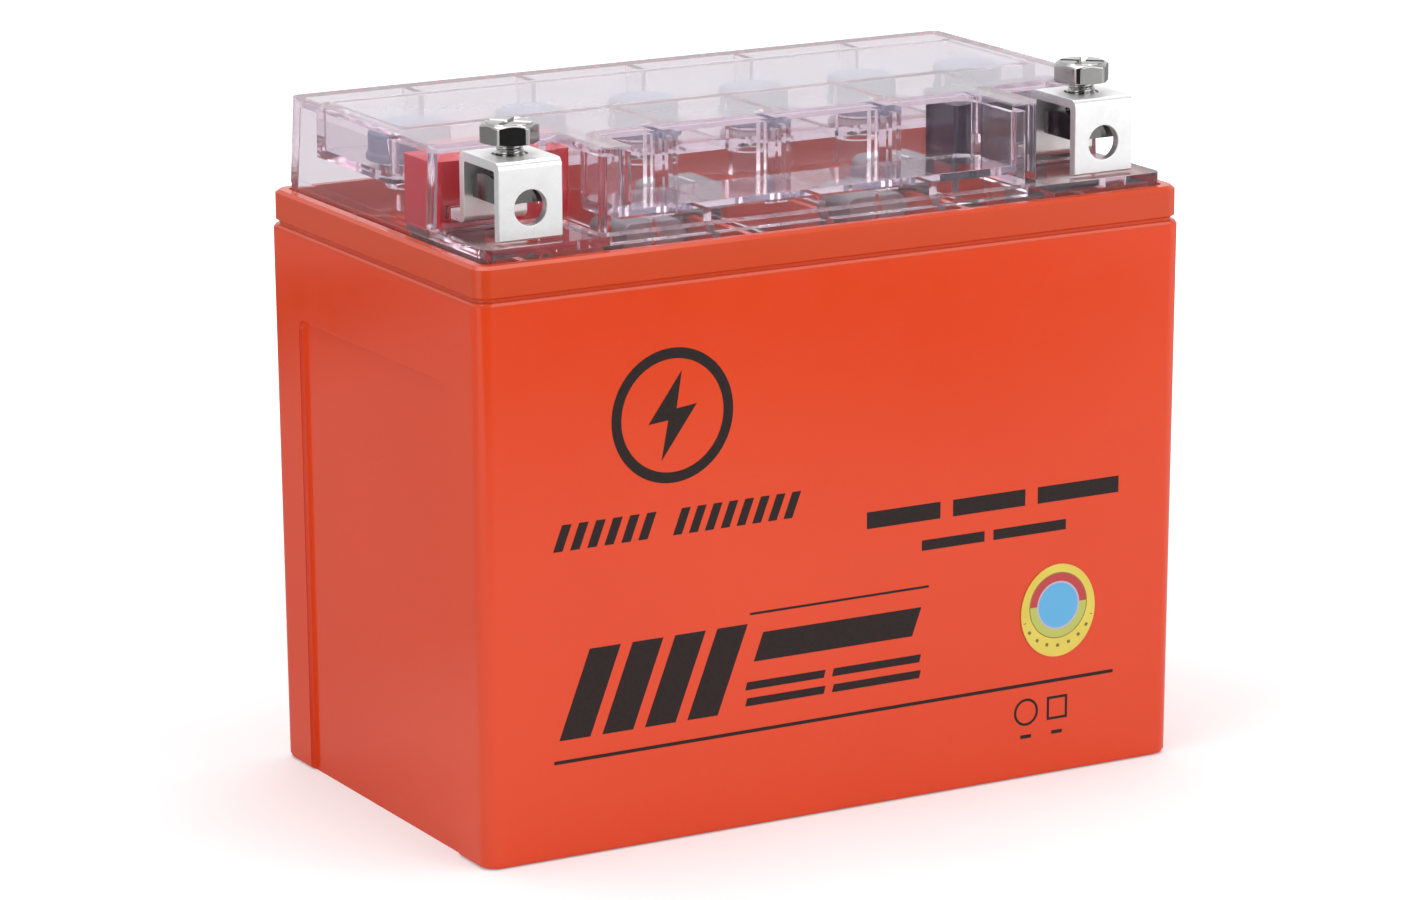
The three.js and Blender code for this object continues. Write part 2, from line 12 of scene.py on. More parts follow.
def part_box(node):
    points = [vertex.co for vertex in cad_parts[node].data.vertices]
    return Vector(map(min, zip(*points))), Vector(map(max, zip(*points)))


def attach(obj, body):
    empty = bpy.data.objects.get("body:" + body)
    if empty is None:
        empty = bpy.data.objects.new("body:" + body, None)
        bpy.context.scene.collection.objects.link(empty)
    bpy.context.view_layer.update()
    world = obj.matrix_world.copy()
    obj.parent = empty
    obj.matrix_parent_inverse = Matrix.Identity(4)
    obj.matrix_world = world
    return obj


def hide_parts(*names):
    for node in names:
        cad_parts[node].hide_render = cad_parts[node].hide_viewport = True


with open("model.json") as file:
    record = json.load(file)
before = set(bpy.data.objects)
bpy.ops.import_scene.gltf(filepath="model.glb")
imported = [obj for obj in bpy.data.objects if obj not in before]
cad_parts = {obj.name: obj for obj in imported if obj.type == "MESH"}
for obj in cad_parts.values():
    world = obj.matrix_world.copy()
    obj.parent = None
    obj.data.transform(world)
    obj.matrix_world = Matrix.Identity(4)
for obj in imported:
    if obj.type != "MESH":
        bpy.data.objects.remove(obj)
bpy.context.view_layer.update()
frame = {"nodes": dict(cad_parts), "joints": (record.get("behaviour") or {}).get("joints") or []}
NODES = frame["nodes"]
ROOT = "battery"
MM = 0.001
CELLS = range(1, 7)
POLES = ("positive", "negative")


# ---- Shader graph helpers ----


class Graph:
    """A shader node tree, with one call for each kind of node that the looks use."""

    def __init__(self, tree):
        self.tree = tree

    def add(self, kind, **settings):
        node = self.tree.nodes.new(f"ShaderNode{kind}")
        for key, value in settings.items():
            setattr(node, key, value)
        return node

    def link(self, source, target):
        self.tree.links.new(source, target)

    def feed(self, socket, value):
        """Gives an input either a constant or another node's output."""
        if isinstance(value, bpy.types.NodeSocket):
            self.link(value, socket)
        elif isinstance(value, tuple) and len(value) == 3 and socket.type == "RGBA":
            socket.default_value = (*value, 1)
        else:
            socket.default_value = value

    def place(self, kind="Object"):
        """Coordinates. The Object kind is the row frame in metres."""
        return self.add("TexCoord").outputs[kind]

    def split(self, vector):
        """A vector's x, y and z."""
        node = self.add("SeparateXYZ")
        self.link(vector, node.inputs[0])
        return tuple(node.outputs)

    def path(self):
        """What kind of ray is being shaded, and how often it has bounced."""
        return self.add("LightPath").outputs

    def through(self, path):
        """1 for a ray that has gone through clear plastic, and 0 for any other."""
        return self.math("MINIMUM", path["Transmission Depth"], 1)

    def noise(self, size_mm, detail=3, roughness=0.5, stretch=(1, 1, 1)):
        mapping = self.add("Mapping")
        mapping.inputs["Scale"].default_value = [s / (size_mm * MM) for s in stretch]
        self.link(self.place(), mapping.inputs["Vector"])
        texture = self.add("TexNoise")
        for key, number in (("Scale", 1), ("Detail", detail), ("Roughness", roughness)):
            texture.inputs[key].default_value = number
        self.link(mapping.outputs["Vector"], texture.inputs["Vector"])
        return texture.outputs["Fac"]

    def ramp(self, value, low, high, start=0.3, end=0.7):
        """value remapped so that start gives low and end gives high."""
        node = self.add("MapRange")
        for key, number in (("From Min", start), ("From Max", end), ("To Min", low), ("To Max", high)):
            node.inputs[key].default_value = number
        self.link(value, node.inputs["Value"])
        return node.outputs["Result"]

    def math(self, operation, a, b=0.0):
        node = self.add("Math", operation=operation)
        for socket, value in zip(node.inputs, (a, b)):
            self.feed(socket, value)
        return node.outputs[0]

    def times(self, a, b):
        return self.math("MULTIPLY", a, b)

    def most(self, a, b):
        return self.math("MAXIMUM", a, b)

    def mix(self, factor, a, b):
        """The colour a where the factor is 0, and b where it is 1."""
        node = self.add("Mix", data_type="RGBA")
        self.feed(node.inputs["Factor"], factor)
        self.feed(node.inputs[6], a)
        self.feed(node.inputs[7], b)
        return node.outputs[2]

    def fade(self, factor, a, b):
        """The number a where the factor is 0, and b where it is 1."""
        node = self.add("Mix", data_type="FLOAT")
        self.feed(node.inputs["Factor"], factor)
        self.feed(node.inputs[2], a)
        self.feed(node.inputs[3], b)
        return node.outputs[0]

    def bump(self, height, depth_mm, normal=None):
        node = self.add("Bump")
        node.inputs["Strength"].default_value = 1
        node.inputs["Distance"].default_value = depth_mm * MM
        self.link(height, node.inputs["Height"])
        if normal is not None:
            self.link(normal, node.inputs["Normal"])
        return node.outputs["Normal"]

    def plain(self, kind, colour):
        """A shader of the given kind in one colour."""
        node = self.add(f"Bsdf{kind}")
        self.feed(node.inputs["Color"], colour)
        return node.outputs["BSDF"]

    def blend(self, factor, a, b):
        """The shader a where the factor is 0, and b where it is 1."""
        node = self.add("MixShader")
        self.feed(node.inputs["Fac"], factor)
        self.link(a, node.inputs[1])
        self.link(b, node.inputs[2])
        return node.outputs["Shader"]


class Surface(Graph):
    """A new material's node tree, with a Principled shader ready to be fed."""

    def __init__(self, name):
        self.material = bpy.data.materials.new(name)
        self.material.use_nodes = True
        super().__init__(self.material.node_tree)
        self.principled = self.tree.nodes["Principled BSDF"]
        self.shader = self.principled.outputs["BSDF"]
        self.output = self.tree.nodes["Material Output"]

    def set(self, **values):
        """Sets Principled inputs by name, with underscores for spaces."""
        for key, value in values.items():
            self.feed(self.principled.inputs[key.replace("_", " ")], value)

    def show(self, shader):
        """Makes the given shader the material's surface."""
        self.link(shader, self.output.inputs["Surface"])


# ---- Materials ----

ORANGE = (0.76, 0.06, 0.01)
ORANGE_DEEP = (0.73, 0.052, 0.008)
COLLAR = (0.64, 0.062, 0.014)
COLLAR_START = 104.2 * MM
COLLAR_FULL = 105.6 * MM

HAZE = (0.84, 0.82, 0.88)
HAZE_START = 129.4 * MM
HAZE_FULL = 129.8 * MM
MOST_BOUNCES_IN_PLASTIC = 8


def clear_plastic():
    """Clear moulded plastic, lilac in its depth, with faint flow marks and a milky upper face.

    Shadow rays, and rays that have bounced many times, go straight through.
    """
    g = Surface("clear_plastic")
    flow = g.noise(22, detail=2, stretch=(1, 1, 2.2))
    fine = g.noise(1.4, detail=2)
    g.set(
        Base_Color=(0.955, 0.94, 0.955),
        Roughness=g.ramp(fine, 0.015, 0.045),
        IOR=1.36,
        Transmission_Weight=1.0,
        Normal=g.bump(flow, 0.02),
    )
    haze = g.blend(0.5, g.plain("Diffuse", HAZE), g.plain("Translucent", HAZE))
    height = g.split(g.place())[2]
    milky = g.blend(g.ramp(height, 0.022, 0.28, start=HAZE_START, end=HAZE_FULL), g.shader, haze)
    path = g.path()
    spent = g.math("GREATER_THAN", path["Ray Depth"], MOST_BOUNCES_IN_PLASTIC)
    straight = g.plain("Transparent", (0.99, 0.975, 0.98))
    g.show(g.blend(g.most(path["Is Shadow Ray"], spent), milky, straight))
    depth = g.add("VolumeAbsorption")
    g.feed(depth.inputs["Color"], (0.8, 0.64, 0.74))
    g.feed(depth.inputs["Density"], 26)
    g.link(depth.outputs["Volume"], g.output.inputs["Volume"])
    return g.material


def moulded_plastic(name, colour, deep, roughness):
    """Glossy moulded plastic with slow colour drift, a faint orange peel and a few rubbed patches."""
    g = Surface(name)
    drift = g.noise(60, detail=2)
    peel = g.noise(0.9, detail=2)
    waves = g.noise(17, detail=1)
    rub = g.noise(7, detail=6, roughness=0.7)
    g.set(
        Base_Color=g.mix(g.ramp(drift, 0, 1), colour, deep),
        Roughness=g.ramp(rub, *roughness, start=0.35, end=0.75),
        Normal=g.bump(peel, 0.004, g.bump(waves, 0.05)),
        IOR=1.5,
    )
    return g


def container_plastic():
    """The container's orange, made darker from the foot of the thin-walled collar at its top upwards."""
    g = moulded_plastic("orange_plastic", ORANGE, ORANGE_DEEP, (0.1, 0.17))
    collar = g.ramp(g.split(g.place())[2], 0, 1, start=COLLAR_START, end=COLLAR_FULL)
    body = g.principled.inputs["Base Color"].links[0].from_socket
    g.set(Base_Color=g.mix(collar, body, COLLAR))
    return g.material


def resin(name, colour, deep):
    return moulded_plastic(name, colour, deep, (0.08, 0.16)).material


def plated(name, colour, roughness, lines_mm, grain=(1, 1, 1), metallic=1.0):
    """Bright plating over pressed or cold-formed steel, with rolling lines and slight staining."""
    g = Surface(name)
    brushed = g.noise(0.35, detail=3, stretch=grain)
    stain = g.noise(4.5, detail=5, roughness=0.65)
    darker = tuple(0.78 * c for c in colour)
    g.set(
        Base_Color=g.mix(g.ramp(stain, 0, 0.55, start=0.4, end=0.75), colour, darker),
        Metallic=metallic,
        Roughness=g.ramp(stain, *roughness),
        Normal=g.bump(brushed, lines_mm),
    )
    return g.material


def cast(name, colour, dark, roughness, grain_mm, depth_mm, metallic=0.0):
    """A cast, pressed or matted surface: mottled colour over a grain of its own size."""
    g = Surface(name)
    grain = g.noise(grain_mm, detail=5, roughness=0.6)
    mottle = g.noise(grain_mm * 6, detail=4)
    g.set(
        Base_Color=g.mix(g.ramp(mottle, 0, 1), colour, dark),
        Roughness=roughness,
        Metallic=metallic,
        Normal=g.bump(grain, depth_mm),
    )
    return g.material


def paste(name, colour, dark, roughness):
    """The pressed paste of a plate group."""
    return cast(name, colour, dark, roughness, grain_mm=0.6, depth_mm=0.1)


MATERIALS = {
    "orange": container_plastic(),
    "clear": clear_plastic(),
    "terminal": plated(
        "terminal_plating",
        (0.98, 0.98, 0.98),
        roughness=(0.26, 0.38),
        lines_mm=0.003,
        grain=(6, 1, 0.12),
        metallic=0.8,
    ),
    "fastener": plated("fastener_plating", (0.46, 0.455, 0.445), roughness=(0.08, 0.16), lines_mm=0.004),
    # The nut's plating is painted dark grey: painted shade for its place under the terminal's top flange.
    "nut": plated("nut_plating_painted_shade", (0.24, 0.235, 0.23), roughness=(0.08, 0.16), lines_mm=0.004),
    "lead": cast(
        "lead",
        (0.42, 0.42, 0.43),
        (0.26, 0.26, 0.28),
        roughness=0.42,
        grain_mm=1.2,
        depth_mm=0.08,
        metallic=0.75,
    ),
    "red": resin("red_resin", (0.56, 0.002, 0.008), (0.48, 0.002, 0.007)),
    "black": resin("dark_resin", (0.012, 0.01, 0.03), (0.02, 0.012, 0.03)),
    "rubber": cast("valve_rubber", (0.3, 0.34, 0.44), (0.25, 0.29, 0.38), 0.55, grain_mm=0.5, depth_mm=0.02),
    "positive": paste("positive_paste", (0.09, 0.035, 0.02), (0.05, 0.02, 0.012), roughness=0.85),
    "negative": paste("negative_paste", (0.2, 0.21, 0.22), (0.13, 0.135, 0.14), roughness=0.75),
    "mat": cast("glass_mat", (0.85, 0.85, 0.82), (0.72, 0.71, 0.67), 0.95, grain_mm=0.35, depth_mm=0.12),
}

# The sticker's print, in mm and degrees from a point just above its middle.
LABEL_RISE = 1.0
SPLIT_HEIGHT = 0.2
DOT_ROW_RADIUS = 7.9
DOT_HALF_HEIGHT = 0.32
DOT_HALF_PITCH = 9
DOT_HALF_WIDTH = 2.4
DOTS_BELOW = -2.6


def label_film():
    """The oval sticker's plain print: a yellow field, a ring half red and half green, and a blue disc."""
    g = Surface("label_film")
    lo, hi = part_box("front_label")
    x, _, z = g.split(g.place())
    u = g.math("DIVIDE", g.math("SUBTRACT", x, (lo.x + hi.x) / 2), MM)
    v = g.math("DIVIDE", g.math("SUBTRACT", z, (lo.z + hi.z) / 2 + LABEL_RISE * MM), MM)
    r = g.math("SQRT", g.math("ADD", g.times(u, u), g.times(v, v)))
    fade = g.noise(9, detail=2)
    colour = g.mix(g.ramp(fade, 0, 1), (0.78, 0.64, 0.09), (0.7, 0.55, 0.06))
    halves = g.mix(g.math("GREATER_THAN", v, SPLIT_HEIGHT), (0.47, 0.52, 0.09), (0.5, 0.03, 0.03))
    outline, rim, disc = (0.25, 0.16, 0.03), (0.5, 0.42, 0.56), (0.1, 0.42, 0.72)
    for radius, inside in ((6.5, outline), (6.3, halves), (4.75, rim), (4.4, disc)):
        colour = g.mix(g.math("LESS_THAN", r, radius), colour, inside)
    angle = g.math("ADD", g.math("ARCTAN2", v, u), math.pi / 2)
    along = g.math("PINGPONG", angle, math.radians(DOT_HALF_PITCH))
    off_row = g.math("ABSOLUTE", g.math("SUBTRACT", r, DOT_ROW_RADIUS))
    on_row = g.math("LESS_THAN", off_row, DOT_HALF_HEIGHT)
    spaced = g.math("LESS_THAN", along, math.radians(DOT_HALF_WIDTH))
    low = g.math("LESS_THAN", v, DOTS_BELOW)
    g.set(
        Base_Color=g.mix(g.times(g.times(on_row, spaced), low), colour, (0.16, 0.13, 0.02)),
        Roughness=0.28,
        Coat_Weight=0.4,
        Coat_Roughness=0.1,
    )
    return g.material


def ink():
    """Screen-printed charcoal ink, slightly thin in places so that the orange warms it."""
    g = Surface("print_ink")
    thin = g.noise(0.8, detail=4)
    g.set(
        Base_Color=g.mix(g.ramp(thin, 0, 0.35), (0.013, 0.009, 0.009), (0.05, 0.014, 0.009)),
        Roughness=g.ramp(thin, 0.32, 0.48),
        Specular_IOR_Level=0.25,
        Normal=g.bump(thin, 0.004),
    )
    return g.material


# ---- Modifiers on the CAD nodes ----

WELD_DISTANCE = 1e-6
FLAT_UP_TO = math.radians(0.2)
ROUNDED_FROM = math.radians(35)


def smooth_group():
    """Geometry nodes that shade smooth across every edge flatter than the given angle."""
    group = bpy.data.node_groups.new("smooth_by_angle", "GeometryNodeTree")
    group.interface.new_socket("Geometry", in_out="INPUT", socket_type="NodeSocketGeometry")
    group.interface.new_socket("Angle", in_out="INPUT", socket_type="NodeSocketFloat")
    group.interface.new_socket("Geometry", in_out="OUTPUT", socket_type="NodeSocketGeometry")
    nodes, links = group.nodes, group.links
    source = nodes.new("NodeGroupInput")
    target = nodes.new("NodeGroupOutput")
    faces = nodes.new("GeometryNodeSetShadeSmooth")
    faces.domain = "FACE"
    edges = nodes.new("GeometryNodeSetShadeSmooth")
    edges.domain = "EDGE"
    angle = nodes.new("GeometryNodeInputMeshEdgeAngle")
    flat = nodes.new("FunctionNodeCompare")
    flat.data_type = "FLOAT"
    flat.operation = "LESS_THAN"
    links.new(source.outputs["Geometry"], faces.inputs["Geometry"])
    links.new(faces.outputs["Geometry"], edges.inputs["Geometry"])
    links.new(angle.outputs["Unsigned Angle"], flat.inputs[0])
    links.new(source.outputs["Angle"], flat.inputs[1])
    links.new(flat.outputs["Result"], edges.inputs["Shade Smooth"])
    links.new(edges.outputs["Geometry"], target.inputs["Geometry"])
    return group


SMOOTH = smooth_group()


def smooth(obj, degrees=32):
    modifier = obj.modifiers.new("smooth", "NODES")
    modifier.node_group = SMOOTH
    angle = SMOOTH.interface.items_tree["Angle"].identifier
    modifier[angle] = math.radians(degrees)


def soften(obj, width_mm, segments=3):
    """Welds the CAD mesh, merges its flat triangles and rounds its sharp edges."""
    weld = obj.modifiers.new("weld", "WELD")
    weld.merge_threshold = WELD_DISTANCE
    flat = obj.modifiers.new("merge_flats", "DECIMATE")
    flat.decimate_type = "DISSOLVE"
    flat.angle_limit = FLAT_UP_TO
    bevel = obj.modifiers.new("round_edges", "BEVEL")
    bevel.width = width_mm * MM
    bevel.segments = segments
    bevel.limit_method = "ANGLE"
    bevel.angle_limit = ROUNDED_FROM
    bevel.use_clamp_overlap = True
    smooth(obj)
    weigh = obj.modifiers.new("flat_stays_flat", "WEIGHTED_NORMAL")
    weigh.mode = "FACE_AREA"
    weigh.weight = 100
    weigh.keep_sharp = True


def paint(node, material):
    obj = NODES[node]
    obj.data.materials.clear()
    obj.data.materials.append(material)
    return obj


def dress_nodes():
    soften(paint("container", MATERIALS["orange"]), 0.22, 2)
    soften(paint("top_cover", MATERIALS["clear"]), 0.28, 2)
    soften(paint("vent_lid", MATERIALS["clear"]), 0.25, 2)
    smooth(paint("front_label", label_film()))
    for pole, seal in zip(POLES, ("red", "black")):
        soften(paint(f"{pole}_terminal", MATERIALS["terminal"]), 0.2)
        soften(paint(f"{pole}_nut", MATERIALS["nut"]), 0.4)
        soften(paint(f"{pole}_post", MATERIALS["lead"]), 0.2)
        soften(paint(f"{pole}_post_seal", MATERIALS[seal]), 0.35)
    for cell in CELLS:
        soften(paint(f"cell_{cell}_vent_cap", MATERIALS["rubber"]), 0.3)
        soften(paint(f"cell_{cell}_positive_plates", MATERIALS["positive"]), 0.2, 1)
        soften(paint(f"cell_{cell}_negative_plates", MATERIALS["negative"]), 0.2, 1)
        smooth(paint(f"cell_{cell}_separator", MATERIALS["mat"]))
    for cell in CELLS[:-1]:
        soften(paint(f"cell_link_{cell}_{cell + 1}", MATERIALS["lead"]), 0.3)


dress_nodes()


# ---- New meshes ----


def new_piece(name, bm, material, body):
    """A piece of the object from a bmesh, riding on a CAD body."""
    mesh = bpy.data.meshes.new(name)
    bmesh.ops.recalc_face_normals(bm, faces=bm.faces)
    bm.to_mesh(mesh)
    bm.free()
    mesh.materials.append(material)
    obj = bpy.data.objects.new(name, mesh)
    bpy.context.scene.collection.objects.link(obj)
    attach(obj, body)
    return obj


def join(bm, low, high):
    """The faces between two rings with the same number of corners."""
    for i in range(len(low)):
        j = (i + 1) % len(low)
        bm.faces.new((low[i], low[j], high[j], high[i]))


def stack(bm, rings):
    """A closed skin over rings, from the first to the last."""
    for low, high in zip(rings, rings[1:]):
        join(bm, low, high)
    bm.faces.new(rings[0][::-1])
    bm.faces.new(rings[-1])


# ---- Print on the front wall ----

# Places are x and z on the wall in mm, x from the middle and z from the floor.
PRINT_PROUD = 0.04
PRINT_SUNK = 0.03
BEFORE_WALL = -200

MARK_CENTRE = (-35.6, 80.8)
MARK_OUTER = 12.6
MARK_INNER = 10.6
FLASH = ((1.9, 8.2), (-5.0, -1.2), (-0.9, -0.8), (-2.3, -8.2), (5.0, 1.7), (0.8, 1.2))

NAME_ROW = (58.3, 63.2)
NAME_WORDS = ((-60.3, -39.0, 6), (-35.6, -8.6, 8))  # from, to and number of ticks
NAME_SHARE = 0.55
NAME_SLANT = 1.9

TYPE_ROW = (54.0, 57.2)
TYPE_WORDS = ((5.6, 21.6), (24.4, 40.4), (43.2, 61.4))
SMALL_TYPE_ROW = (48.2, 50.2)
SMALL_TYPE_WORDS = ((17.6, 31.4), (33.4, 49.6))

STRIPE_ROW = (22.7, 39.3)
STRIPE_SPAN = (-59.3, -19.9)
STRIPE_COUNT = 4
STRIPE_SHARE = 0.72
STRIPE_SLANT = 6.4
THICK_BAR = (-18.6, 15.6, 31.9, 37.3)
THICK_BAR_SLANT = 2.0
THIN_BARS = ((-20.4, -3.6), (-1.8, 17.2))
THIN_BAR_FEET = (26.6, 23.5)
THIN_BAR_HEIGHT = 1.5
THIN_BAR_SLANT = 0.4

SHORT_RULE = (-19.4, 19.2, 40.9, 41.35)
LONG_RULE = (-60.4, 60.8, 18.3, 18.95)

SIGN_RING = (41.2, 13.2)
SIGN_RING_OUTER = 2.7
SIGN_SQUARE = (45.9, 50.5, 10.9, 15.5)
SIGN_LINE = 0.5
SIGN_FEET = ((40.0, 42.4), (47.0, 49.4))
SIGN_FOOT_ROW = (8.0, 8.7)


def wall_tree():
    """The container's faces, to find where its leaning front wall is."""
    mesh = NODES["container"].data
    return BVHTree.FromPolygons([v.co for v in mesh.vertices], [p.vertices for p in mesh.polygons])


WALL = wall_tree()


def on_wall(point, out):
    """A point of the front wall, given as x and z in mm, moved out of the wall by so many mm."""
    x, z = point[0] * MM, point[1] * MM
    hit = WALL.ray_cast(Vector((x, BEFORE_WALL * MM, z)), Vector((0, 1, 0)))[0]
    return Vector((x, hit.y - out * MM, z))


def traced(bm, outline, out):
    """An outline's corners on the wall, moved out of it."""
    return [bm.verts.new(on_wall(p, out)) for p in outline]


def slab(bm, outline):
    """A flat printed shape: a thin closed slab with the given outline."""
    stack(bm, [traced(bm, outline, -PRINT_SUNK), traced(bm, outline, PRINT_PROUD)])


def band(bm, outer, inner):
    """A printed closed band between two outlines with the same number of corners."""
    loops = [
        traced(bm, outer, PRINT_PROUD),
        traced(bm, inner, PRINT_PROUD),
        traced(bm, inner, -PRINT_SUNK),
        traced(bm, outer, -PRINT_SUNK),
    ]
    for here, following in zip(loops, loops[1:] + loops[:1]):
        join(bm, here, following)


def circle(centre, radius, count=72):
    turns = [2 * math.pi * i / count for i in range(count)]
    return [(centre[0] + radius * math.cos(t), centre[1] + radius * math.sin(t)) for t in turns]


def bar(x0, x1, z0, z1, slant=0.0):
    """A bar's outline whose top edge is shifted right by the slant."""
    return [(x0, z0), (x1, z0), (x1 + slant, z1), (x0 + slant, z1)]


def ticks(bm, x0, x1, row, count, share, slant):
    """A row of equal slanted bars that fill the given share of the row's length."""
    pitch = (x1 - x0 - slant) / (count - 1 + share)
    for i in range(count):
        start = x0 + i * pitch
        slab(bm, bar(start, start + share * pitch, *row, slant))


def round_mark(bm):
    """A plain ring with a lightning flash, the usual sign for electricity."""
    x, z = MARK_CENTRE
    band(bm, circle(MARK_CENTRE, MARK_OUTER), circle(MARK_CENTRE, MARK_INNER))
    slab(bm, [(x + dx, z + dz) for dx, dz in FLASH])


def name_bars(bm):
    for x0, x1, count in NAME_WORDS:
        ticks(bm, x0, x1, NAME_ROW, count, NAME_SHARE, NAME_SLANT)


def type_bars(bm):
    for row, words in ((TYPE_ROW, TYPE_WORDS), (SMALL_TYPE_ROW, SMALL_TYPE_WORDS)):
        for x0, x1 in words:
            slab(bm, bar(x0, x1, *row))


def stripes(bm):
    ticks(bm, *STRIPE_SPAN, STRIPE_ROW, STRIPE_COUNT, STRIPE_SHARE, STRIPE_SLANT)
    slab(bm, bar(*THICK_BAR, THICK_BAR_SLANT))
    for z in THIN_BAR_FEET:
        for x0, x1 in THIN_BARS:
            slab(bm, bar(x0, x1, z, z + THIN_BAR_HEIGHT, THIN_BAR_SLANT))


def rules(bm):
    slab(bm, bar(*SHORT_RULE))
    slab(bm, bar(*LONG_RULE))


def small_signs(bm):
    """A ring and a square over two short bars."""
    band(bm, circle(SIGN_RING, SIGN_RING_OUTER, 36), circle(SIGN_RING, SIGN_RING_OUTER - SIGN_LINE, 36))
    x0, x1, z0, z1 = SIGN_SQUARE
    inside = bar(x0 + SIGN_LINE, x1 - SIGN_LINE, z0 + SIGN_LINE, z1 - SIGN_LINE)
    band(bm, bar(*SIGN_SQUARE), inside)
    for x0, x1 in SIGN_FEET:
        slab(bm, bar(x0, x1, *SIGN_FOOT_ROW))


def print_front():
    material = ink()
    prints = {
        "print_round_mark": round_mark,
        "print_name_bars": name_bars,
        "print_type_bars": type_bars,
        "print_stripes": stripes,
        "print_rules": rules,
        "print_small_signs": small_signs,
    }
    for name, draw in prints.items():
        bm = bmesh.new()
        draw(bm)
        new_piece(name, bm, material, ROOT)


print_front()


# ---- Bolts ----

# In mm, with heights from the floor.
HEAD_TURN = {"positive": 41.2, "negative": 48.2}  # degrees to a corner, as the bolts stand
HEAD_FLATS = 9.8
HEAD_BOTTOM = 131.4
HEAD_HEIGHT = 3.5
HEAD_RISES = (0, 0.04, 0.1, 0.2, 0.35, 0.8, 1.6, 2.4, 2.6, 2.75, 2.9, 3.05, 3.2, 3.35, 3.45, HEAD_HEIGHT)
CHAMFER = 0.75
CORNER_CUT = 0.2
CORNER_SOFTNESS = 0.09
EDGE_SOFTNESS = 0.05
CROWN_RADIUS = 4.35
CROWN_EDGE = ((0.08, 0.0), (0.0, 0.07), (-0.02, 0.2), (-0.1, 0.27), (-0.25, 0.3))  # widening and rise
THREAD_RADIUS = 2.95
THREAD_DEPTH = 0.5
THREAD_TOP = 129.6
NECK_RADIUS = 2.55
NECK_DEPTH = 0.22
PITCH = 1.0
ROWS_A_PITCH = 10
POINT = 0.7
AROUND = 72
ANGLES = [2 * math.pi * i / AROUND for i in range(AROUND)]

CROSS_HALF = 0.72
CROSS_REACH = 4.45
CROSS_RINGS = ((0.4, -1.5), (1.0, 0.05), (1.03, 0.3))  # scale, and height from the bolt's top


def soft_min(values, softness):
    """The least of the values, with the corners between them rounded."""
    least = min(values)
    return least - softness * math.log(sum(math.exp((least - v) / softness) for v in values))


def hexagon(angle, corner):
    """Distance from the axis to the hexagonal head's side, in mm, with rounded corners."""
    off = (angle - corner) % (math.pi / 3) - math.pi / 6
    side = HEAD_FLATS / 2 / math.cos(off)
    return soft_min((side, HEAD_FLATS / math.sqrt(3) - CORNER_CUT), CORNER_SOFTNESS)


def thread(z, angle, radius, depth):
    """Distance from the axis to a rolled thread's surface, in mm."""
    turn = (z / PITCH - angle / (2 * math.pi)) % 1
    rise = min(1, abs(turn - 0.5) * 2 / 0.8)
    return radius - depth * (1 - rise)


def shank_rows(tip):
    """The threaded shank from its tip up to the head, as heights with a radius for every angle."""
    step = PITCH / ROWS_A_PITCH
    rows = []
    for i in range(int((HEAD_BOTTOM - tip) / step) + 1):
        z = tip + i * step
        neck = z > THREAD_TOP
        outer = NECK_RADIUS if neck else min(THREAD_RADIUS, THREAD_RADIUS - POINT + z - tip)
        depth = NECK_DEPTH if neck else THREAD_DEPTH
        rows.append((z, [thread(z, a, outer, depth) for a in ANGLES]))
    return rows


def head_rows(corner):
    """The hexagonal head and its round crown, as heights with a radius for every angle."""
    flat = HEAD_FLATS / 2
    rows = []
    for rise in HEAD_RISES:
        under = flat + 0.35 + rise * 2.5
        over = flat - 0.1 + (HEAD_HEIGHT - rise) * 1.1 / CHAMFER
        radii = [soft_min((hexagon(a, corner), under, over), EDGE_SOFTNESS) for a in ANGLES]
        rows.append((HEAD_BOTTOM + rise, radii))
    for widening, rise in CROWN_EDGE:
        rows.append((HEAD_BOTTOM + HEAD_HEIGHT + rise, [CROWN_RADIUS + widening] * AROUND))
    return rows


def ring_of(bm, centre, points, z):
    """Corners round a vertical axis, given in mm from it."""
    return [bm.verts.new((centre.x + x * MM, centre.y + y * MM, z * MM)) for x, y in points]


def lofted(rows, centre):
    """A closed mesh through rings of points round a vertical axis."""
    bm = bmesh.new()
    rings = []
    for z, radii in rows:
        points = [(r * math.cos(a), r * math.sin(a)) for r, a in zip(radii, ANGLES)]
        rings.append(ring_of(bm, centre, points, z))
    stack(bm, rings)
    return bm


def cross_cutter(centre, turn, top):
    """The driver's recess: a cross whose arms narrow downwards."""
    plus = []
    for k in range(4):
        angle = turn + k * math.pi / 2
        for along, aside in ((CROSS_REACH, -CROSS_HALF), (CROSS_REACH, CROSS_HALF), (CROSS_HALF, CROSS_HALF)):
            x = along * math.cos(angle) - aside * math.sin(angle)
            y = along * math.sin(angle) + aside * math.cos(angle)
            plus.append((x, y))
    bm = bmesh.new()
    rings = []
    for scale, rise in CROSS_RINGS:
        rings.append(ring_of(bm, centre, [(x * scale, y * scale) for x, y in plus], top + rise))
    stack(bm, rings)
    return bm


def cut_away(obj, cutter_bm):
    """Takes the cutter's shape out of obj's mesh."""
    mesh = bpy.data.meshes.new("cutter")
    bmesh.ops.recalc_face_normals(cutter_bm, faces=cutter_bm.faces)
    cutter_bm.to_mesh(mesh)
    cutter_bm.free()
    cutter = bpy.data.objects.new("cutter", mesh)
    bpy.context.scene.collection.objects.link(cutter)
    boolean = obj.modifiers.new("recess", "BOOLEAN")
    boolean.operation = "DIFFERENCE"
    boolean.solver = "EXACT"
    boolean.object = cutter
    graph = bpy.context.evaluated_depsgraph_get()
    result = bpy.data.meshes.new_from_object(obj.evaluated_get(graph))
    obj.modifiers.remove(boolean)
    obj.data = result
    bpy.data.objects.remove(cutter)


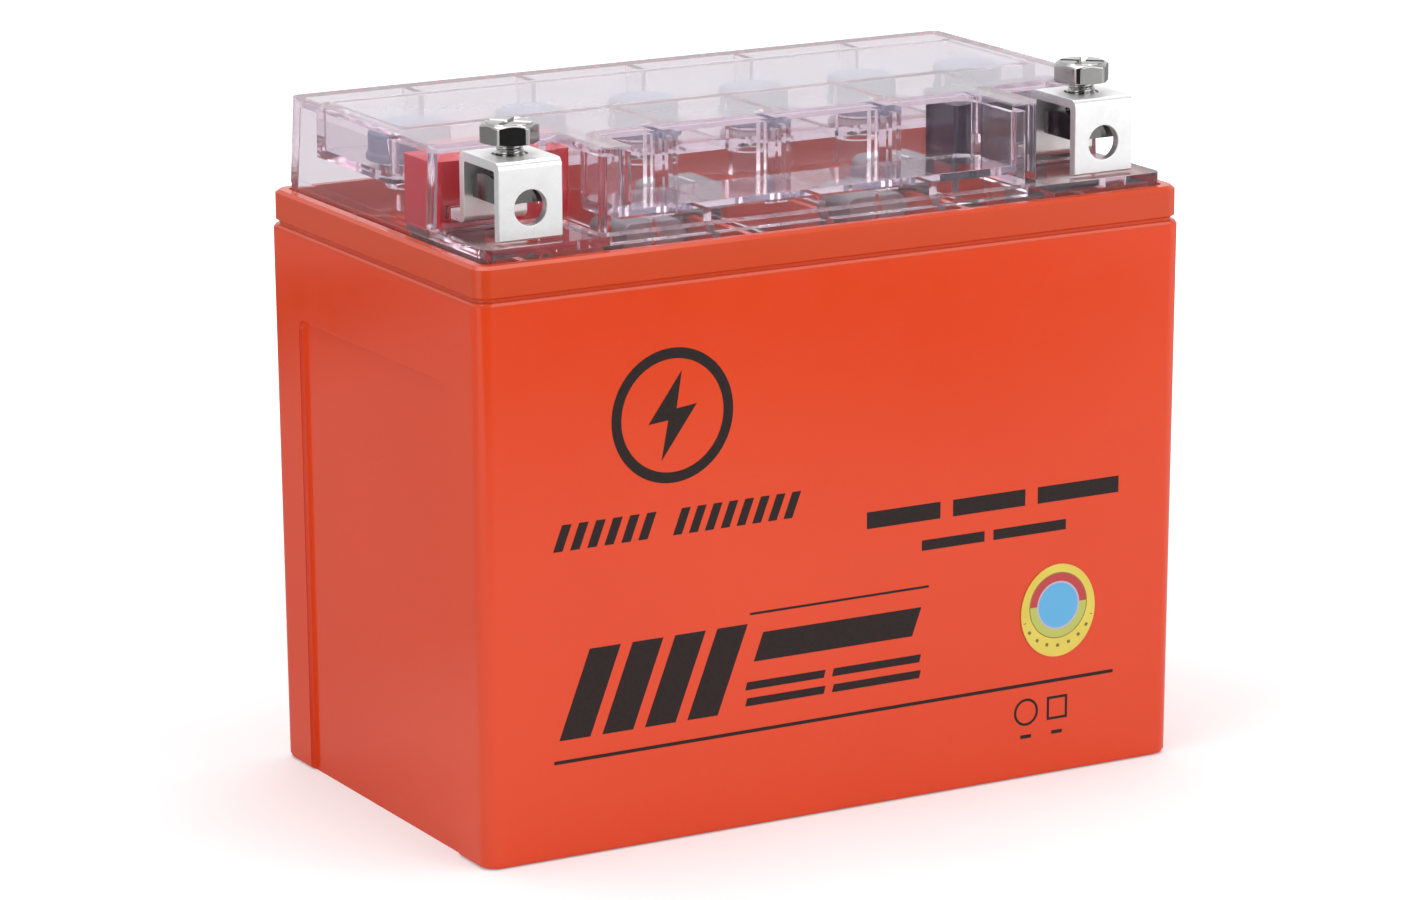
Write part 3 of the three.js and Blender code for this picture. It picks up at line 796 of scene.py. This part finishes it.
def bolt(pole):
    """A plated hexagon screw with a rounded, chamfered head, a cross recess and a rolled thread."""
    node = f"{pole}_bolt"
    lo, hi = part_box(node)
    joint = next(j for j in frame["joints"] if j["name"] == f"{pole}_bolt_turn")
    axis = Vector(joint["pos_m"])
    turn = math.radians(HEAD_TURN[pole])
    bm = lofted(shank_rows(lo.z / MM) + head_rows(turn), axis)
    obj = new_piece(f"{node}_fine", bm, MATERIALS["fastener"], node)
    cut_away(obj, cross_cutter(axis, turn, hi.z / MM))
    smooth(obj, 38)
    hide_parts(node)


for pole in POLES:
    bolt(pole)


# ---- Stage ----

# In metres, and the camera's lens and sensor in mm.
FLOOR_HALF = 1.6
MIRRORED = (0.04, 0.04, 0.04)
MIRRORED_IN_PLASTIC = (0.3, 0.17, 0.24)
CARD_LEFT = (-0.42, -0.28)
CARD_RIGHT = (0.02, -0.46)
CARD_HEIGHT = 0.4
LENS = 142.8
SENSOR = 36
EYE = (-0.5159, -0.9112, 0.3192)
LOOKS_AT = (-0.0035, 0, 0.0611)
CAMERA_ROLL = -0.25  # degrees


def stage_plane(name, corners, material):
    mesh = bpy.data.meshes.new(name)
    mesh.from_pydata(corners, [], [(0, 1, 2, 3)])
    obj = bpy.data.objects.new(name, mesh)
    mesh.materials.append(material)
    bpy.context.scene.collection.objects.link(obj)
    return obj


def mirror_shade(g, x, y, away, through):
    """How dark the floor is in a mirror image: one pattern for direct rays, one for rays in the plastic."""
    far = g.ramp(away, 0.0, 0.95, start=0.22, end=0.47)
    bearing = g.math("ABSOLUTE", g.math("DIVIDE", x, y))
    near_front = g.ramp(bearing, 1.0, 0.0, start=0.65, end=0.95)
    ahead = g.times(near_front, g.ramp(away, 1, 0.3, start=0.51, end=0.57))
    rear = g.times(g.math("GREATER_THAN", y, 0), 0.6)
    behind = g.ramp(y, 0.0, 0.55, start=-0.05, end=0.1)
    open_shade = g.most(g.times(far, g.most(ahead, rear)), behind)
    front = g.ramp(y, 0.0, 0.65, start=0.0, end=-0.15)
    left = g.ramp(x, 0.95, 0.0, start=-0.16, end=-0.1)
    inner_shade = g.times(far, g.most(front, left))
    direct = g.math("SUBTRACT", 1, through)
    return g.math("ADD", g.times(direct, open_shade), g.times(through, inner_shade))


def floor():
    """A pale table, white to the camera farther out, whose mirror image darkens with distance."""
    g = Surface("floor")
    x, y, _ = g.split(g.place())
    distance = g.add("VectorMath", operation="LENGTH")
    g.link(g.place(), distance.inputs[0])
    away = distance.outputs["Value"]
    path = g.path()
    through = g.through(path)
    mirrored = g.times(path["Is Glossy Ray"], mirror_shade(g, x, y, away, through))
    seen = g.most(path["Is Camera Ray"], g.times(through, 0.25))
    glow = g.times(seen, g.ramp(away, 0.22, 0.7, start=0.12, end=0.42))
    pale = g.mix(g.ramp(g.noise(40, detail=3), 0, 1), (0.87, 0.87, 0.875), (0.84, 0.84, 0.845))
    g.set(
        Base_Color=g.mix(mirrored, pale, g.mix(through, MIRRORED, MIRRORED_IN_PLASTIC)),
        Roughness=0.6,
        Specular_IOR_Level=0.0,
        Emission_Color=(1, 1, 1),
        Emission_Strength=g.times(glow, g.math("SUBTRACT", 1, mirrored)),
    )
    half = FLOOR_HALF
    corners = [(-half, -half, 0), (half, -half, 0), (half, half, 0), (-half, half, 0)]
    stage_plane("floor", corners, g.material)


def dark_card():
    """A dark board beside the camera, seen only in reflections, that gives the metal its contrast."""
    g = Surface("dark_card")
    g.set(Base_Color=(0.02, 0.02, 0.022), Roughness=0.9)
    g.show(g.blend(g.through(g.path()), g.shader, g.plain("Transparent", (1, 1, 1))))
    corners = [(*CARD_LEFT, 0), (*CARD_RIGHT, 0), (*CARD_RIGHT, CARD_HEIGHT), (*CARD_LEFT, CARD_HEIGHT)]
    card = stage_plane("dark_card", corners, g.material)
    card.visible_camera = False
    card.visible_diffuse = False
    card.visible_shadow = False
    card.visible_transmission = False


def soft_box(name, place, aim, size, power):
    light = bpy.data.lights.new(name, "AREA")
    light.shape = "RECTANGLE"
    light.size, light.size_y = size
    light.energy = power
    obj = bpy.data.objects.new(name, light)
    obj.location = place
    obj.rotation_mode = "QUATERNION"
    obj.rotation_quaternion = (Vector(aim) - Vector(place)).to_track_quat("-Z", "Y")
    obj.visible_camera = False
    bpy.context.scene.collection.objects.link(obj)


def studio_world():
    """A white studio: plain white to the camera, paler behind the object than behind the camera.

    A ray that has gone through the plastic finds no part of it dark, and the darkest part pink.
    """
    world = bpy.data.worlds.new("studio")
    world.use_nodes = True
    g = Graph(world.node_tree)
    shade = g.tree.nodes["Background"]
    path = g.path()
    through = g.through(path)
    strength = g.ramp(g.split(g.place("Generated"))[1], 0.3, 0.92, start=-0.5, end=0.2)
    darkest = 0.45
    lifted = g.times(through, g.math("LESS_THAN", strength, darkest))
    g.feed(shade.inputs["Color"], g.mix(lifted, (0.99, 0.99, 1), (1, 0.85, 0.95)))
    strength = g.most(strength, g.times(through, darkest))
    for kind, value in (("Is Diffuse Ray", 0.5), ("Is Camera Ray", 1.0)):
        strength = g.fade(path[kind], strength, value)
    g.feed(shade.inputs["Strength"], strength)
    bpy.context.scene.world = world


def camera():
    data = bpy.data.cameras.new("camera")
    data.sensor_width = SENSOR
    data.lens = LENS
    obj = bpy.data.objects.new("camera", data)
    place, aim = Vector(EYE), Vector(LOOKS_AT)
    facing = (aim - place).to_track_quat("-Z", "Y").to_matrix().to_4x4()
    roll = Matrix.Rotation(math.radians(CAMERA_ROLL), 4, "Z")
    obj.matrix_world = Matrix.Translation(place) @ facing @ roll
    bpy.context.scene.collection.objects.link(obj)
    bpy.context.scene.camera = obj


def light_paths():
    """Enough bounces for light to get out of the clear cover."""
    cycles = bpy.context.scene.cycles
    cycles.max_bounces = 20
    cycles.transmission_bounces = 18
    cycles.glossy_bounces = 16
    cycles.transparent_max_bounces = 24
    bpy.context.scene.view_settings.view_transform = "Standard"


floor()
dark_card()
soft_box("key", place=(0.62, -1.1, 0.5), aim=(0, 0, 0.04), size=(1.3, 1.0), power=7.2)
soft_box("top", place=(0, 0.1, 1.2), aim=(0, 0, 0.1), size=(1.2, 1.0), power=8)
soft_box("side", place=(-1.0, -0.35, 0.45), aim=(0, 0, 0.05), size=(0.6, 0.6), power=2.3)
studio_world()
camera()
light_paths()
